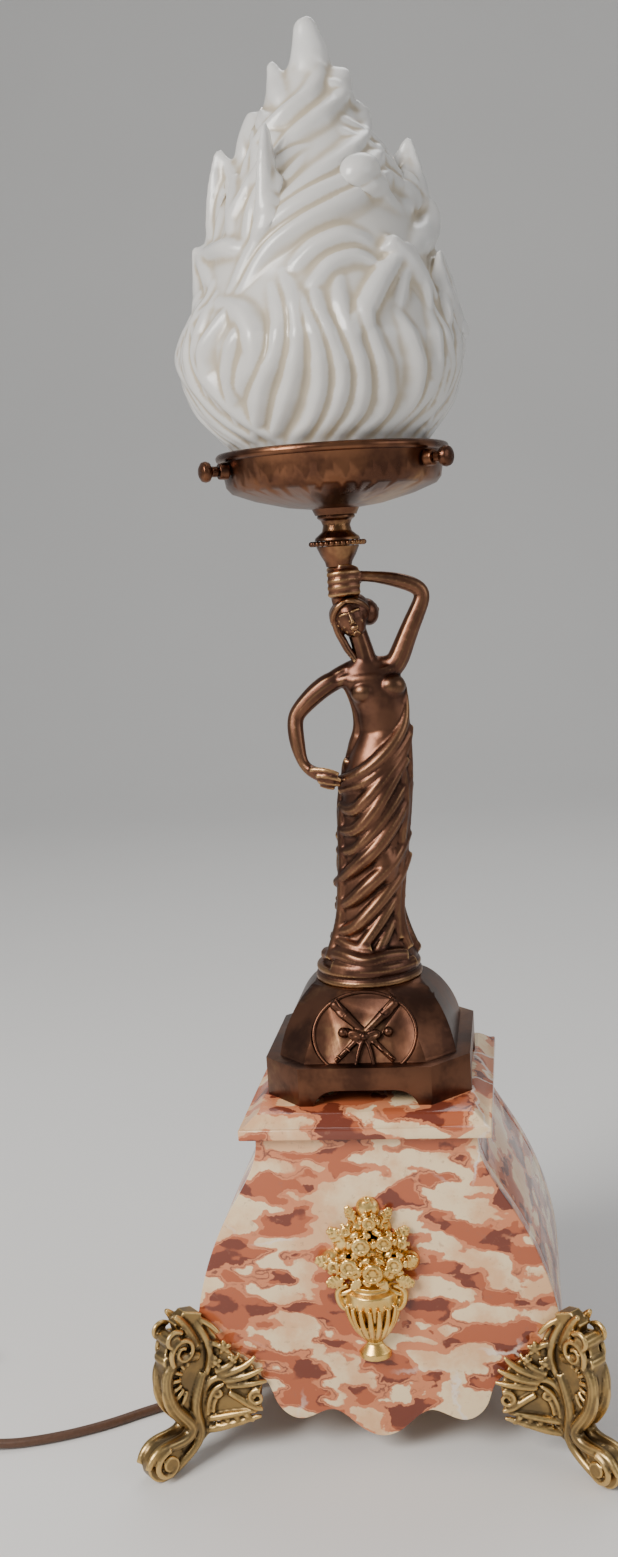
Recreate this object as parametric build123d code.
"""Figural table lamp: a bronze torch-bearer on an octagonal base, a flame-shaped glass shade in a
three-screw gallery, and a hollow marble plinth with two brass scroll feet under its front corners.

Millimetres, +Z up, front facing -Y. Every piece is drawn round the plinth's centre on the table, then the
whole lamp is moved back by SET_BACK, so that the origin is the centre of its bounding box's bottom.
"""
import os
from math import pi, radians, tan

from build123d import *

# ------------------------------------------------------------------ driving dimensions
# Marble plinth
FACE_Y = 60.0            # the front face stands this far in front of the centre
SLAB = 10.0              # thickness of the marble slabs
CAP_BOTTOM = 175.0
CAP_LIP_TOP = 180.5
CAP_TOP = 186.0
CAP_LIP = (62.7, 66.0)   # half width and half depth of the cap's lip
CAP_FLAT = (53.2, 56.5)  # half width and half depth of its flat top
BOARD = (54.0, 62.0)     # bottom and top of the wooden base board
BOARD_HALF = (83.0, 49.7)
SET_BACK = 9.0

# Half width of the plinth against height, from the cap down to the table
SIDE_PROFILE = [(55.5, 175.0), (57.0, 162.0), (61.6, 151.5), (67.8, 141.0), (74.0, 130.5), (79.3, 119.7),
                (84.4, 107.0), (88.4, 94.0), (91.5, 80.0), (93.2, 66.0), (93.7, 50.0), (93.7, 25.0),
                (93.7, 0.0)]
# Lower edge of the front slab, from outside to the middle
FRONT_APRON = [(104.0, 54.0), (74.0, 50.0), (58.5, 42.0), (53.5, 29.5), (42.0, 21.7),
               (25.5, 27.0), (11.0, 17.0), (0.0, 12.5)]
# Opening under the back slab, which stands on the table at both ends
BACK_APRON = [(62.0, -4.0), (61.0, 8.0), (54.0, 21.0), (38.0, 29.0), (20.0, 31.0), (0.0, 31.5)]
# Lower edge of the side slabs, from the front corner back to the rear leg
SIDE_APRON = [(-70.0, 54.0), (-46.0, 50.0), (-37.0, 46.0), (-29.0, 36.0), (-20.0, 31.5), (-10.0, 33.0),
              (0.0, 28.0), (10.0, 33.0), (21.0, 31.5), (31.0, 24.0), (37.0, 10.0), (38.0, -4.0)]

# Feet, measured outward from the plinth's corner along the diagonal
CORNER = (94.0, 60.3)    # where the foot's wings meet, clear of the marble
WING = 4.0               # thickness of the wings
KEEL_HALF = 8.5          # half width of the leg
TOE_REACH = 25.0
TOE_RADIUS = 10.0
LUG = (38.0, 41.5)       # bottom and top of the lug under the slabs
LUG_SCREW = (72.0, 41.0)

# Gilt urn on the front slab
URN_X = -1.5
URN_SUNK = 3.0           # the urn's axis lies this far behind the marble face
URN_STUDS = (88.0, 112.0)
URN_OUTLINE = [(0, 57), (9.0, 57), (9.0, 60), (5.5, 64), (4.8, 68), (6.5, 72), (11.5, 78), (14.5, 87),
               (14.0, 93), (11.0, 95), (12.0, 97.5), (0, 97.5)]
BLOOMS = [(-19, 109, 6.7), (-12, 118, 6.5), (0, 112, 8.0), (12, 118, 6.5), (19.5, 109, 6.2),
          (-8, 104, 7.0), (9, 104, 7.0), (-5, 127, 6.3), (6, 127, 6.3), (0.5, 137, 6.5)]

# Octagonal base and stem
LAMP_Y = 3.0             # the lamp stands a little behind the plinth's centre
PLATE_TOP = 205.7
PLATE = (52.4, 33.5)     # half width and half of each long side
DOME_TOP = 239.0
DOME_SECTIONS = [(45.5, 31.0, 205.0), (43.6, 28.5, 214.0), (38.5, 22.5, 226.0), (32.0, 16.0, 235.0),
                 (27.5, 11.4, DOME_TOP)]
ARCH_HALF = 27.0
ARCH_RISE = 8.0
STEM_RADIUS = 5.0        # M10 tube
STEM_BORE = 3.5
STEM = (157.0, 256.0)
RUNNING_GAP = 0.1

# Figure
FLANGE_RADIUS = 28.2
TORCH_X = -3.0           # the torch stands a little to the side of the base's centre
TORCH = (TORCH_X, LAMP_Y)
CUP = (452.5, 463.0)     # torch cup, bottom and top
CHANNEL_RADIUS = 2.4     # wire channel through the casting
# Cross-sections of skirt and torso: centre x, centre y, half width, half depth, height
BODY = [(0.0, 0.0, 26.5, 26.5, 246.0), (2.0, 0.0, 24.0, 22.0, 256.0), (2.5, 0.0, 18.5, 18.0, 272.0),
        (2.5, 0.0, 17.5, 16.0, 291.0), (4.5, 0.0, 19.0, 16.0, 312.0), (7.0, 0.0, 19.0, 15.5, 331.0),
        (9.5, 0.0, 17.0, 14.0, 348.0), (14.0, 0.0, 13.8, 11.0, 366.0), (13.0, -0.5, 15.5, 12.5, 384.0),
        (10.0, 0.0, 15.0, 10.0, 396.0), (7.5, 0.5, 7.5, 7.0, 404.0)]
HEAD = (-0.5, -1.0, 428.0)
LEFT_ARM = [((-6, 0, 394), 6.6), ((-29.5, 3, 378), 4.6), ((-28.5, -1, 356), 3.6), ((-20, -5, 346), 4.6),
            ((-8, -8, 343), 4.0)]
RIGHT_ARM = [((20, 1, 397), 6.8), ((25, 2, 408), 5.6), ((36.5, 2, 433), 5.2), ((31, 1, 441), 4.6),
             ((9, -1, 448), 3.6), ((TORCH_X, 0, 446), 5.6)]
CHANNEL = [(0, 0, 240), (0, 0, 262), (4, 0, 300), (8, 0, 340), (13, 0, 372), (11.5, 0, 392),
           (5, 0, 410), (-1, 0, 428), (TORCH_X, 0, 442), (TORCH_X, 0, 470)]

# Gallery for a standard 4 inch shade fitter
RIM_TOP = 511.0
RIM_RADIUS = 60.0
BAND_BOTTOM = 494.5
SCREW_HEIGHT = 502.0
SCREW_ANGLES = {"left": 210.0, "right": 330.0, "back": 90.0}
SCREW_RADIUS = 1.95      # M4 shank
NIPPLE = (453.0, 498.0)
HOLE = STEM_RADIUS + RUNNING_GAP
GALLERY_SEAT = CUP[1] + 15.5

# Glass shade
GLASS_WALL = 3.0
GLASS_PROFILE = [(47.5, 492.4), (47.5, 507.0), (53.0, 518.0), (65.5, 538.0), (70.5, 560.0),
                 (68.5, 585.0), (61.0, 612.0), (50.0, 640.0), (36.0, 668.0), (19.0, 697.0),
                 (8.0, 713.0)]

# Mains cord
CORD = 5.0
CORD_Z = CORD / 2 + 0.1
ROUTE_TO_SWITCH = [(-45, 8, 60), (-45, 8, 37), (-58, 4.5, 16), (-82, -1, 4), (-107, -10, CORD_Z),
                   (-131, -23, CORD_Z), (-154, -39, CORD_Z), (-180, -51, CORD_Z), (-208, -58.5, 3.2),
                   (-240, -61, 7.5)]
ROUTE_TO_COIL = [(-288, -63, 7.5), (-303, -62, 6.4), (-315, -49, 4.2), (-319, -30, 3.6),
                 (-317.5, -11, 3.6)]
ROUTE_TO_PLUG = [(-314.5, 14, 13.5), (-316.5, 27, 10.5), (-317, 40, 8.0), (-317, 54, 8.0)]
COIL_CENTRE = (-284.0, 0.0)
COIL_RADII = (20.0, 35.2)
COIL_HEIGHTS = (1.0, 16.0)
TIE_ANGLE = 20.0
SWITCH_CENTRE = (-264.0, -62.0)
SWITCH = (50.0, 24.0, 16.0)
SWITCH_TURN = 2.4        # the switch lies along the cord's line, in degrees from -X
PLUG_START = (-317.0, 50.0, 8.0)
PIN_SPACING = 19.0
PIN_RADIUS = 2.0
PIN_ROOT = 1.6           # the pins are thinner inside the plug


# ------------------------------------------------------------------ small makers
def bar(radius, low, high, at=(0.0, 0.0)):
    return Pos(at[0], at[1], (low + high) / 2) * Cylinder(radius, high - low)


def block(x, y, z):
    size = [high - low for low, high in (x, y, z)]
    return Pos(sum(x) / 2, sum(y) / 2, sum(z) / 2) * Box(*size)


def pipe(outer, inner, low, high, at=(0.0, 0.0)):
    return bar(outer, low, high, at) - bar(inner, low - 1, high + 1, at)


def lathe(points, at=(0.0, 0.0)):
    """A turned piece from a closed outline of (radius, height) points."""
    outline = make_face(Plane.XZ * Polyline(*points, close=True))
    return Pos(at[0], at[1], 0) * revolve(outline, Axis.Z)


def taper(start, end, start_radius, end_radius):
    """A straight round limb between two points."""
    run = Vector(*end) - Vector(*start)
    along = Plane(origin=start, z_dir=run) * Pos(0, 0, run.length / 2)
    if abs(start_radius - end_radius) < 0.01:
        return along * Cylinder(start_radius, run.length)
    return along * Cone(start_radius, end_radius, run.length)


def limb(joints):
    """Tapers joined by balls, through (point, radius) joints."""
    shape = Pos(*joints[0][0]) * Sphere(joints[0][1])
    for (start, start_radius), (end, end_radius) in zip(joints, joints[1:]):
        shape += taper(start, end, start_radius, end_radius)
        shape += Pos(*end) * Sphere(end_radius)
    return shape


def hexagon_nut(across_flats, hole, low, high, at=(0.0, 0.0)):
    outline = RegularPolygon(across_flats / 2, 6, major_radius=False)
    nut = Pos(at[0], at[1], low) * extrude(outline, high - low, dir=(0, 0, 1))
    return nut - bar(hole, low - 1, high + 1, at)


def route_radii(points):
    """Each corner's arc: 0.45 of the shorter run over the tangent of half the turn."""
    corners = [Vector(*p) for p in points]
    radii = []
    for before, corner, after in zip(corners, corners[1:], corners[2:]):
        run_in, run_out = corner - before, after - corner
        half_turn = radians(run_in.get_angle(run_out)) / 2
        radii.append(0.45 * min(run_in.length, run_out.length) / tan(half_turn))
    return radii


def tube_along(points, radius):
    """A round tube on straight runs joined by tangent arcs, and its path's length."""
    path = FilletPolyline(*points, radius=route_radii(points))
    section = Plane(origin=path @ 0, z_dir=path % 0) * Circle(radius)
    return sweep(section, path=path), path.length


def mirrored_pair(points):
    """The points of half an outline, then the other half mirrored."""
    return points + [(-x, z) for x, z in reversed(points[:-1])]


# ------------------------------------------------------------------ plinth
def body_prism(inset, depth, low=0.0):
    """The plinth's bulging outline, a given thickness inside its face, run along Y."""
    right = [(x - inset, z) for x, z in SIDE_PROFILE]
    left = [(-x, z) for x, z in right]
    outline = Curve() + [
        Spline(*right),
        Line(right[-1], left[-1]),
        Spline(*left),
        Line(left[0], right[0]),
    ]
    prism = extrude(make_face(Plane.XZ * outline), depth, both=True)
    return prism & block((-200, 200), (-200, 200), (low, CAP_BOTTOM))


def below_apron(points, plane, reach):
    """What lies under a scalloped lower edge, to be cut away."""
    outline = Curve() + [
        Spline(*points),
        Polyline(points[-1], (points[-1][0], -20), (points[0][0], -20), points[0]),
    ]
    return extrude(make_face(plane * outline), reach, both=True)


def plinth():
    front_cut = below_apron(mirrored_pair(FRONT_APRON), Plane.XZ, 100)
    back_cut = below_apron(mirrored_pair(BACK_APRON), Plane.XZ, 100)
    side_cut = below_apron(SIDE_APRON, Plane.YZ, 150)
    whole = body_prism(0, FACE_Y)
    front = whole & block((-200, 200), (-FACE_Y, SLAB - FACE_Y), (0, 200))
    front -= front_cut
    for height in URN_STUDS:
        front -= taper((URN_X, -FACE_Y - 1, height), (URN_X, -FACE_Y + SLAB + 1, height), 1.6, 1.6)
    back = whole & block((-200, 200), (FACE_Y - SLAB, FACE_Y), (0, 200))
    back -= back_cut
    walls = body_prism(0, FACE_Y - SLAB) - body_prism(SLAB, FACE_Y, low=-5.0) - side_cut
    right = walls & block((0, 200), (-100, 100), (0, 200))
    left = walls & block((-200, 0), (-100, 100), (0, 200))
    return {"plinth_front": front, "plinth_back": back, "plinth_left": left, "plinth_right": right}


def cap_prism(plane, lip, flat, reach):
    """One pair of moulded edges of the cap: lip, then an ogee up to the flat top."""
    step = lip - flat
    rise = CAP_TOP - CAP_LIP_TOP
    right = [(lip - 0.8, CAP_LIP_TOP), (lip - 0.42 * step, CAP_LIP_TOP + 0.32 * rise),
             (flat + 0.3 * step, CAP_LIP_TOP + 0.72 * rise), (flat, CAP_TOP)]
    left = [(-x, z) for x, z in right]
    outline = Curve() + [
        Polyline((-lip, CAP_BOTTOM), (lip, CAP_BOTTOM), (lip, CAP_LIP_TOP), right[0]),
        Spline(*right),
        Line(right[-1], left[-1]),
        Spline(*left),
        Polyline(left[0], (-lip, CAP_LIP_TOP), (-lip, CAP_BOTTOM)),
    ]
    return extrude(make_face(plane * outline), reach, both=True)


def plinth_cap():
    cap = cap_prism(Plane.XZ, CAP_LIP[0], CAP_FLAT[0], 100)
    cap &= cap_prism(Plane.YZ, CAP_LIP[1], CAP_FLAT[1], 100)
    return cap - bar(STEM_RADIUS + 0.3, CAP_BOTTOM - 1, CAP_TOP + 1, (0, LAMP_Y))


def base_board():
    board = block((-BOARD_HALF[0], BOARD_HALF[0]), (-BOARD_HALF[1], BOARD_HALF[1]), BOARD)
    board -= bar(5.0, BOARD[0] - 1, BOARD[1] + 1, ROUTE_TO_SWITCH[0][:2])
    for side in (-1, 1):
        board -= bar(2.0, BOARD[0] - 1, BOARD[1] + 1, (side * LUG_SCREW[0], -LUG_SCREW[1]))
    return board


def corner_blocks():
    """A glue block in each corner, the front two bored for the feet's screws."""
    x0, y0 = LUG_SCREW
    reach = BOARD_HALF[1] - y0
    blocks = []
    for side in (-1, 1):
        for end in (-1, 1):
            x, y = side * x0, end * y0
            wood = block((x - 6, x + 6), (y - reach, y + reach), (BOARD[1], 86))
            if end < 0:
                wood -= bar(2.0, BOARD[1] - 1, 81, (x, y))
            blocks.append(wood)
    return Compound(children=blocks)


def foot_screws():
    screws = []
    for side in (-1, 1):
        place = (side * LUG_SCREW[0], -LUG_SCREW[1])
        screws.append(bar(1.9, LUG[0], 78, place) + bar(3.8, LUG[0] - 2.0, LUG[0], place))
    return Compound(children=screws)


def foot():
    """The right front foot: two wings that hug the plinth's corner, an S-shaped leg and a volute toe."""
    leg_outline = [(0.5, 82), (7, 85), (13, 80), (11.5, 75), (19, 70), (22, 60), (21.5, 47), (17, 34),
                   (10, 27), (7.5, 22), (10, 19), (17, 19.5), (TOE_REACH, 20), (TOE_REACH + 9, 10),
                   (TOE_REACH, 0.4), (17, 4), (6, 9), (0, 16), (-6, 28), (-6, 40), (0.5, 46)]
    leg = extrude(make_face(Plane.XZ * Polyline(*leg_outline, close=True)), KEEL_HALF - 1, both=True)
    toe = Pos(TOE_REACH, 0, TOE_RADIUS) * Rot(X=90) * Cylinder(TOE_RADIUS, 2 * KEEL_HALF)
    leg = Pos(CORNER[0] + 0.2, -CORNER[1] - 0.2, 0) * Rot(Z=-45) * (leg + toe)
    wing_outline = [(0, 80), (9, 78), (16, 66), (24, 58), (33, 52), (37, 42), (36, 30), (27, 23),
                    (14, 27), (0, 20)]
    front_wing = extrude(make_face(Plane.XZ * Polyline(
        *[(CORNER[0] + WING - d, z) for d, z in wing_outline], close=True)), WING, dir=(0, -1, 0))
    front_wing = Pos(0, -CORNER[1], 0) * front_wing
    side_wing = extrude(make_face(Plane.YZ * Polyline(
        *[(d - CORNER[1] - WING, z) for d, z in wing_outline], close=True)), WING, dir=(1, 0, 0))
    side_wing = Pos(CORNER[0], 0, 0) * side_wing
    lug = block((LUG_SCREW[0] - 7, CORNER[0] + 1), (-CORNER[1] - 1, -LUG_SCREW[1] + 7), LUG)
    boss = bar(6.0, LUG[0], BOARD[0], (LUG_SCREW[0], -LUG_SCREW[1]))
    shape = leg + front_wing + side_wing + lug + boss
    return shape - bar(2.0, LUG[0] - 1, BOARD[0] + 1, (LUG_SCREW[0], -LUG_SCREW[1]))


def feet():
    right = foot()
    return {"foot_right": right, "foot_left": mirror(right, about=Plane.YZ)}


# ------------------------------------------------------------------ gilt urn mount
def urn_mount():
    """Half an urn with a spray of flowers, flat on its back where it meets the marble."""
    urn = Pos(0, URN_SUNK, 0) * lathe(URN_OUTLINE)
    for x, z, radius in BLOOMS:
        urn += Pos(x, 0.3 * radius, z) * Sphere(radius)
    for side in (-1, 1):
        handle = [((side * 10.0, -2, 94), 1.4), ((side * 16.5, -2, 91), 1.3), ((side * 11.5, -2, 84), 1.4)]
        urn += limb(handle)
    urn &= block((-60, 60), (-30, 0), (40, 160))
    return Pos(URN_X, -FACE_Y, 0) * urn


def urn_studs():
    studs = []
    for height in URN_STUDS:
        studs.append(taper((URN_X, -FACE_Y, height), (URN_X, -FACE_Y + SLAB + 6, height), 1.5, 1.5))
    return Compound(children=studs)


def urn_nuts():
    nuts = []
    for height in URN_STUDS:
        nut = hexagon_nut(6.0, 1.55, 0, 2.6)
        nuts.append(Pos(URN_X, -FACE_Y + SLAB, height) * Rot(X=-90) * nut)
    return Compound(children=nuts)


# ------------------------------------------------------------------ octagonal base and stem
def octagon(half, flat, height):
    """An octagon of four long and four short sides, round the lamp's axis."""
    points = [(half, -flat), (half, flat), (flat, half), (-flat, half),
              (-half, flat), (-half, -flat), (-flat, -half), (flat, -half)]
    return Plane(origin=(0, 0, height)) * make_face(Polyline(*points, close=True))


def arch(plane):
    """The opening under a long side: flat top with round shoulders."""
    shoulder = ARCH_RISE * 1.6
    outline = Curve() + [
        Line((-ARCH_HALF, CAP_TOP - 1), (ARCH_HALF, CAP_TOP - 1)),
        Spline((ARCH_HALF, CAP_TOP - 1), (ARCH_HALF - 0.4 * shoulder, CAP_TOP + 0.75 * ARCH_RISE),
               (ARCH_HALF - shoulder, CAP_TOP + ARCH_RISE)),
        Line((ARCH_HALF - shoulder, CAP_TOP + ARCH_RISE), (shoulder - ARCH_HALF, CAP_TOP + ARCH_RISE)),
        Spline((shoulder - ARCH_HALF, CAP_TOP + ARCH_RISE),
               (0.4 * shoulder - ARCH_HALF, CAP_TOP + 0.75 * ARCH_RISE), (-ARCH_HALF, CAP_TOP - 1)),
    ]
    return extrude(make_face(plane * outline), 80, both=True)


def octagon_base():
    half, flat = PLATE
    plate = extrude(octagon(half, flat, CAP_TOP), PLATE_TOP - CAP_TOP, dir=(0, 0, 1))
    dome = loft([octagon(*section) for section in DOME_SECTIONS])
    hollow = loft([octagon(h - 4, max(f - 2.5, 4), z - 4) for h, f, z in DOME_SECTIONS])
    well = extrude(octagon(half - 5, flat - 2, CAP_TOP - 1), 16, dir=(0, 0, 1))
    shape = plate + dome - hollow - well - arch(Plane.XZ) - arch(Plane.YZ)
    lean = Pos(0, -38.6, 218.5) * Rot(X=64)
    recess = lean * extrude(Ellipse(27.2, 22.5), 12)
    recess &= block((-40, 40), (-80, 0), (PLATE_TOP, DOME_TOP - 1))
    shape -= recess
    for side in (-1, 1):
        handle = limb([((side * 14, -13, 0), 1.2), ((-side * 9, 9.5, 0.4), 2.0)])
        flame = limb([((-side * 9, 9.5, 0.4), 2.6), ((-side * 15, 15, 0.4), 2.8)])
        shape += lean * (handle + flame)
    shape += lean * (Pos(12, 1, 0) * Sphere(2.6))
    shape += lean * (Pos(-10, 1, 0) * scale(Sphere(2.6), by=(1.5, 1, 1)))
    shape -= bar(STEM_RADIUS + 0.3, CAP_TOP, DOME_TOP + 2)
    return Pos(0, LAMP_Y, 0) * shape


# ------------------------------------------------------------------ figure
def figure():
    """The woman on her flange: skirt and torso lofted, arms, neck, head and torch handle joined on."""
    body = loft([Plane(origin=(x, y, z)) * Ellipse(a, b) for x, y, a, b, z in BODY])
    flange = lathe([(0, DOME_TOP), (FLANGE_RADIUS, DOME_TOP), (FLANGE_RADIUS, 242), (26.5, 243.2),
                    (27.6, 244.4), (27.6, 247), (0, 247)])
    neck = taper((8, 0.5, 398), (2, -0.5, 420), 6.2, 5.0)
    head = Pos(*HEAD) * Rot(Y=-17) * scale(Sphere(10.0), by=(0.95, 1.0, 1.28))
    handle = bar(5.3, 430, CUP[0], (TORCH_X, 0))
    shape = body + flange + neck + head + handle + limb(LEFT_ARM) + limb(RIGHT_ARM)
    channel, _ = tube_along(CHANNEL, CHANNEL_RADIUS)
    shape = shape - channel - bar(STEM_RADIUS + 0.05, DOME_TOP - 1, STEM[1] + 2)
    return Pos(0, LAMP_Y, 0) * shape


def inner_flex():
    """Twin flex from the terminal block through stem, figure and nipple to the lampholder."""
    route = [(-33, LAMP_Y, 70), (-18, LAMP_Y, 90), (-2, LAMP_Y, 122), (0, LAMP_Y, 160)]
    route += [(x, y + LAMP_Y, z) for x, y, z in CHANNEL[1:-1]]
    route.append((TORCH_X, LAMP_Y, NIPPLE[1] + 2))
    solid, _ = tube_along(route, 1.6)
    return solid


# ------------------------------------------------------------------ torch head and gallery
def torch_pieces():
    low, high = CUP
    cup = lathe([(HOLE, low), (6.4, low), (7.0, low + 2.5), (9.0, low + 6), (11.0, low + 10.5),
                 (11.6, high), (HOLE, high)], TORCH)
    ring_low = high + 0.1
    ring = lathe([(HOLE, ring_low), (12.8, ring_low), (14.2, ring_low + 0.5), (14.7, ring_low + 1.3),
                  (14.2, ring_low + 2.1), (12.8, ring_low + 2.6), (HOLE, ring_low + 2.6)], TORCH)
    neck_low = ring_low + 2.7
    collar = lathe([(HOLE, neck_low), (11.6, neck_low), (11.2, neck_low + 1.6), (7.6, neck_low + 4.5),
                    (6.9, neck_low + 7.5), (7.8, neck_low + 10.0), (9.6, neck_low + 11.2),
                    (9.6, neck_low + 12.6), (HOLE, neck_low + 12.6)], TORCH)
    return {"torch_cup": cup, "beaded_ring": ring, "neck_collar": collar}


def gallery():
    """Spun dish: hub, shallow bowl, upright band and a rolled wire rim."""
    outline = [(HOLE, GALLERY_SEAT), (10.5, GALLERY_SEAT), (12.0, GALLERY_SEAT + 3.2), (24, 483.2),
               (40, 487.2), (51.5, 491.5), (54.0, BAND_BOTTOM), (56.2, RIM_TOP - 3.2), (54.9, RIM_TOP - 3.2),
               (52.7, BAND_BOTTOM + 0.8), (50.8, 492.8), (39.6, 488.6), (23.8, 484.6), (11.0, 483.6),
               (HOLE, 483.6)]
    dish = lathe(outline, TORCH)
    rim = Pos(TORCH[0], TORCH[1], RIM_TOP - 2.2) * Torus(RIM_RADIUS - 2.2 - 1.6, 2.2)
    dish += rim
    for angle in SCREW_ANGLES.values():
        dish -= screw_frame(angle) * taper((46, 0, 0), (62, 0, 0), SCREW_RADIUS + 0.15, SCREW_RADIUS + 0.15)
    return dish


def screw_frame(angle):
    """Local X points outward along a thumbscrew's axis."""
    return Pos(TORCH[0], TORCH[1], SCREW_HEIGHT) * Rot(Z=angle)


def gallery_bosses():
    boss = taper((56.0, 0, 0), (60.6, 0, 0), 4.2, 3.8) - taper((50, 0, 0), (62, 0, 0), 2.1, 2.1)
    return Compound(children=[screw_frame(angle) * boss for angle in SCREW_ANGLES.values()])


def thumbscrew():
    """Shank, thin neck and round knob."""
    screw = Rot(Y=90) * lathe([(0, 64.2), (2.0, 64.2), (4.6, 65.4), (5.1, 67.2), (4.6, 69.0), (2.6, 70.2),
                               (0, 70.5)])
    screw += taper((50.4, 0, 0), (61.4, 0, 0), SCREW_RADIUS, SCREW_RADIUS)
    screw += taper((61.2, 0, 0), (65, 0, 0), 2.6, 2.6)
    return screw


def screw_tip():
    return taper((47.9, 0, 0), (50.3, 0, 0), 2.4, SCREW_RADIUS)


def thumbscrews():
    made = {}
    for name, angle in SCREW_ANGLES.items():
        made["screw_" + name] = screw_frame(angle) * thumbscrew()
        made["tip_" + name] = screw_frame(angle) * screw_tip()
    return made


# ------------------------------------------------------------------ lampholder and bulb
def lampholder():
    hole = STEM_RADIUS + 0.1
    cap = lathe([(hole, 490.3), (10, 490.3), (16, 494), (18.0, 499.0), (18.0, 504.0), (16.8, 504.0),
                 (16.8, 499.6), (15.2, 495.2), (10, 491.8), (hole, 491.8)], TORCH)
    skirt = lathe([(16.9, 504.1), (18.0, 504.1), (18.0, 530), (16.9, 530)], TORCH)
    ring = pipe(20.5, 18.1, 512, 516.5, TORCH)
    core = pipe(14.6, 5.6, 499.5, 506.5, TORCH)
    for side in (-1, 1):
        core -= bar(1.7, 501.5, 507, (TORCH[0] + 10.5 * side, TORCH[1]))
    shell = pipe(14.3, 13.6, 506.6, 528, TORCH)
    tongue = block((TORCH[0] - 2.5, TORCH[0] + 2.5), (TORCH[1] - 9, TORCH[1] + 2.5), (506.6, 507.4))
    screws = Compound(children=[
        bar(1.65, 501.6, 506.5, (TORCH[0] + 10.5 * side, TORCH[1])) for side in (-1, 1)])
    return {"holder_cap": cap, "holder_skirt": skirt, "holder_ring": ring, "holder_core": core,
            "thread_shell": shell, "centre_contact": tongue, "terminal_screws": screws}


def bulb():
    cap = lathe([(0, 508.5), (3.5, 508.5), (5.0, 510), (11.0, 512), (13.2, 514), (13.2, 531), (11.8, 532.5),
                 (11.8, 534), (0, 534)], TORCH)
    globe = Pos(TORCH[0], TORCH[1], 557) * Sphere(22.5) + bar(12.6, 534.1, 541, TORCH)
    globe -= Pos(TORCH[0], TORCH[1], 557) * Sphere(21.7) + bar(11.7, 533, 541, TORCH)
    stem = bar(4.0, 534.1, 545, TORCH)
    for side in (-1, 1):
        stem += taper((TORCH[0] + 2 * side, TORCH[1], 544), (TORCH[0] + 9 * side, TORCH[1], 562), 0.4, 0.4)
    stem += taper((TORCH[0] - 9, TORCH[1], 562), (TORCH[0] + 9, TORCH[1], 562), 0.6, 0.6)
    return {"bulb_cap": cap, "bulb_glass": globe, "bulb_filament": stem}


# ------------------------------------------------------------------ glass shade
def glass_body(profile):
    outline = Curve() + [
        Line((0, profile[0][1]), profile[0]),
        Line(profile[0], profile[1]),
        Spline(*profile[1:], (0, profile[-1][1] + 4), tangents=((0, 1), (-1, 0))),
        Line((0, profile[-1][1] + 4), (0, profile[0][1])),
    ]
    return revolve(make_face(Plane.XZ * outline), Axis.Z)


def glass_shade():
    inside = [(radius - GLASS_WALL, height) for radius, height in GLASS_PROFILE[:-1]]
    inside[0] = (inside[0][0], inside[0][1] - 1)
    shade = glass_body(GLASS_PROFILE) - glass_body(inside)
    return Pos(TORCH[0], TORCH[1], 0) * shade


# ------------------------------------------------------------------ mains cord, switch and plug
def cords():
    made = {}
    routes = {"cord_lamp": ROUTE_TO_SWITCH, "cord_mid": ROUTE_TO_COIL, "cord_tail": ROUTE_TO_PLUG}
    for name, route in routes.items():
        solid, length = tube_along(route, CORD / 2)
        share = solid.volume / (pi * (CORD / 2) ** 2 * length)
        radii = " ".join(f"{radius:.0f}" for radius in route_radii(route))
        print(f"{name}: {length:.0f} mm, volume over section times length {share:.4f}, arc radii {radii}")
        made[name] = solid
    return made


def cord_coil():
    inner, outer = COIL_RADII
    low, high = COIL_HEIGHTS
    edge = 3.0
    section = Pos((inner + outer) / 2, (low + high) / 2) * RectangleRounded(outer - inner, high - low, edge)
    coil = Pos(COIL_CENTRE[0], COIL_CENTRE[1], 0) * revolve(Plane.XZ * section, Axis.Z)
    for route, step in ((ROUTE_TO_COIL, -1), (ROUTE_TO_PLUG, 0)):
        coil -= cord_end(route, step)
    return coil


def cord_end(route, index):
    """The last stretch of a cord, a little thicker, to be taken out of what it enters."""
    end = Vector(*route[index])
    before = Vector(*route[index - 1 if index else 1])
    away = (before - end).normalized()
    return taper(tuple(end - away * 1.0), tuple(end + away * 14.0), CORD / 2 + 0.05, CORD / 2 + 0.05)


def coil_tie():
    """A flat band round the coil's bundle."""
    inner, outer = COIL_RADII
    low, high = COIL_HEIGHTS
    band = block((inner - 1.5, outer + 1.1), (-4, 4), (low - 0.95, high + 1.1))
    band -= block((inner - 0.5, outer + 0.1), (-5, 5), (low - 0.05, high + 0.1))
    return Pos(COIL_CENTRE[0], COIL_CENTRE[1], 0) * Rot(Z=TIE_ANGLE) * band


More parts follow.
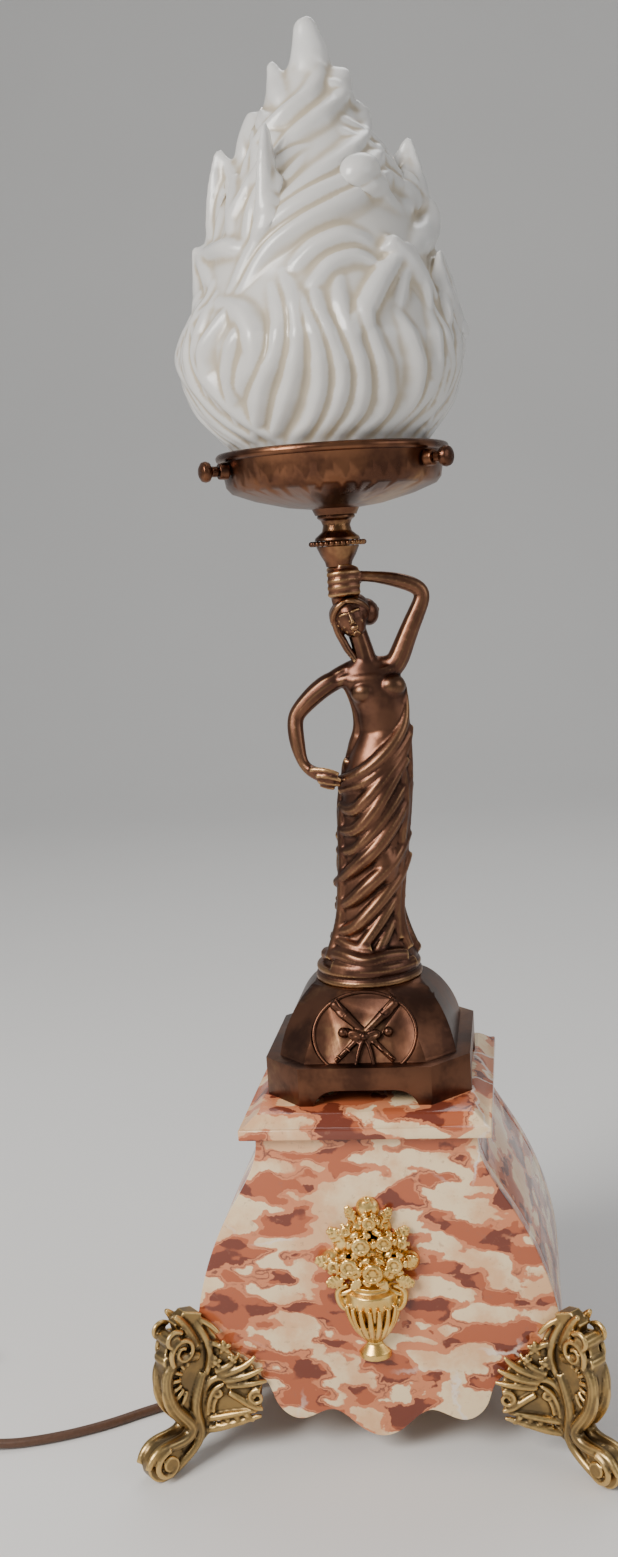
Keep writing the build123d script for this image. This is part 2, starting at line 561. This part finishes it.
def switch():
    """In-line rocker switch: lower shell, cover and rocker on its pin. Local X runs along the cord."""
    length, width, height = SWITCH
    split = height / 2
    place = Pos(SWITCH_CENTRE[0], SWITCH_CENTRE[1], 0)
    entry = Pos(0, 0, 7.5) * Rot(Y=90) * Cylinder(CORD / 2 + 0.4, length + 2)
    shell = block((-length / 2, length / 2), (-width / 2, width / 2), (0.2, height))
    shell = fillet(shell.edges().filter_by(Axis.Z), 8.0)
    shell = fillet(shell.edges().group_by(Axis.Z)[-1], 3.0)
    cavity = block((-length / 2 + 5, length / 2 - 5), (-width / 2 + 2, width / 2 - 2), (2.2, height - 2))
    opening = block((-9.2, 9.2), (-5.3, 5.3), (height - 6, height + 5))
    shell = shell - cavity - entry - opening
    pin = Pos(0, 0, 9.0) * Rot(X=90) * Cylinder(1.05, width - 6)
    base = shell & block((-60, 60), (-30, 30), (0, split))
    ears = block((-3, 3), (-width / 2 + 2.1, -5.4), (8.1, height - 1))
    ears += block((-3, 3), (5.4, width / 2 - 2.1), (8.1, height - 1))
    cover = (shell & block((-60, 60), (-30, 30), (split + 0.05, 30))) + ears - pin
    hinge = (0, 0, 9.0)
    rocker = Pos(*hinge) * Rot(X=90) * Cylinder(8.8, 10.2)
    rocker &= block((-10, 10), (-6, 6), (7.6, 30))
    for side in (-1, 1):
        facet = Pos(side * 7, 0, 19.6) * Rot(Y=side * -14) * Box(16, 12, 5)
        rocker -= facet
    rocker += Pos(*hinge) * Rot(X=90) * Cylinder(1.0, width - 7)
    tilt = Pos(*hinge) * Rot(Y=-9) * Pos(0, 0, -hinge[2])
    turn = Rot(Z=180 + SWITCH_TURN)
    return {"switch_base": place * turn * base, "switch_cover": place * turn * cover,
            "switch_rocker": place * turn * tilt * rocker}


def plug():
    """Two-pin plug lying flat. Its axis runs along Y from the cord's end."""
    x, y, z = PLUG_START
    relief = Pos(x, y + 9, z) * Rot(X=-90) * Cone(3.8, 5.2, 18)
    body = loft([
        Pos(x, y + 17, z) * Rot(X=-90) * RectangleRounded(13, 11, 4),
        Pos(x, y + 28, z) * Rot(X=-90) * RectangleRounded(26, 14.5, 5),
        Pos(x, y + 38, z) * Rot(X=-90) * RectangleRounded(34, 14.5, 6),
        Pos(x, y + 44, z) * Rot(X=-90) * RectangleRounded(35, 14.5, 6),
    ])
    body += relief
    body -= Pos(x, y + 5, z) * Rot(X=-90) * Cylinder(CORD / 2 + 0.1, 12)
    pins = []
    for side in (-1, 1):
        pin_x = x + side * PIN_SPACING / 2
        body -= Pos(pin_x, y + 40, z) * Rot(X=-90) * Cylinder(PIN_ROOT + 0.02, 12)
        pin = taper((pin_x, y + 34.5, z), (pin_x, y + 44.3, z), PIN_ROOT, PIN_ROOT)
        pin += taper((pin_x, y + 44.3, z), (pin_x, y + 61.5, z), PIN_RADIUS, PIN_RADIUS)
        pins.append(pin + Pos(pin_x, y + 61.5, z) * Sphere(PIN_RADIUS))
    return {"plug_body": body, "plug_pins": Compound(children=pins)}


def cord_fittings():
    x, y = ROUTE_TO_SWITCH[0][:2]
    grommet = pipe(8.0, CORD / 2 + 0.15, BOARD[0] - 2, BOARD[0], (x, y))
    grommet += pipe(4.9, CORD / 2 + 0.15, BOARD[0], BOARD[1] + 1.5, (x, y))
    terminals = block((-52, -34), (-4, 16), (BOARD[1] + 1.6, 78)) - bar(CORD / 2 + 0.2, 60, 70, (x, y))
    terminals -= block((-35, -33), (LAMP_Y - 3, LAMP_Y + 3), (66, 74))
    terminals += block((-56, -52), (-4, 16), (BOARD[1], 66))
    return {"cord_grommet": grommet, "terminal_block": terminals}


# ------------------------------------------------------------------ assembly
def set_back(shape):
    """A piece at its final place, moved solid by solid."""
    solids = [Pos(0, SET_BACK, 0) * solid for solid in shape.solids()]
    return solids[0] if len(solids) == 1 else Compound(children=solids)


def build():
    nodes = {
        "plinth_cap": plinth_cap(),
        "base_board": base_board(),
        "corner_blocks": corner_blocks(),
        "foot_screws": foot_screws(),
        "urn_mount": urn_mount(),
        "urn_studs": urn_studs(),
        "urn_nuts": urn_nuts(),
        "stem_rod": pipe(STEM_RADIUS, STEM_BORE, *STEM, (0, LAMP_Y)),
        "stem_washer": pipe(12.0, STEM_RADIUS + 0.3, CAP_BOTTOM - 1.8, CAP_BOTTOM, (0, LAMP_Y)),
        "stem_nut": hexagon_nut(16.0, STEM_RADIUS + 0.05, CAP_BOTTOM - 9.8, CAP_BOTTOM - 1.8, (0, LAMP_Y)),
        "octagon_base": octagon_base(),
        "figure": figure(),
        "nipple": pipe(STEM_RADIUS, STEM_BORE, *NIPPLE, TORCH),
        "gallery": gallery(),
        "gallery_bosses": gallery_bosses(),
        "gallery_nut": hexagon_nut(16.0, HOLE, 483.7, 490.2, TORCH),
        "glass_shade": glass_shade(),
        "inner_flex": inner_flex(),
        "cord_coil": cord_coil(),
        "coil_tie": coil_tie(),
    }
    for group in (plinth(), feet(), torch_pieces(), thumbscrews(), lampholder(), bulb(), cords(),
                  cord_fittings(), switch(), plug()):
        nodes.update(group)
    return {name: set_back(shape) for name, shape in nodes.items()}


if __name__ == "__main__":
    os.makedirs("parts", exist_ok=True)
    for name, shape in build().items():
        export_step(shape, os.path.join("parts", name + ".step"))
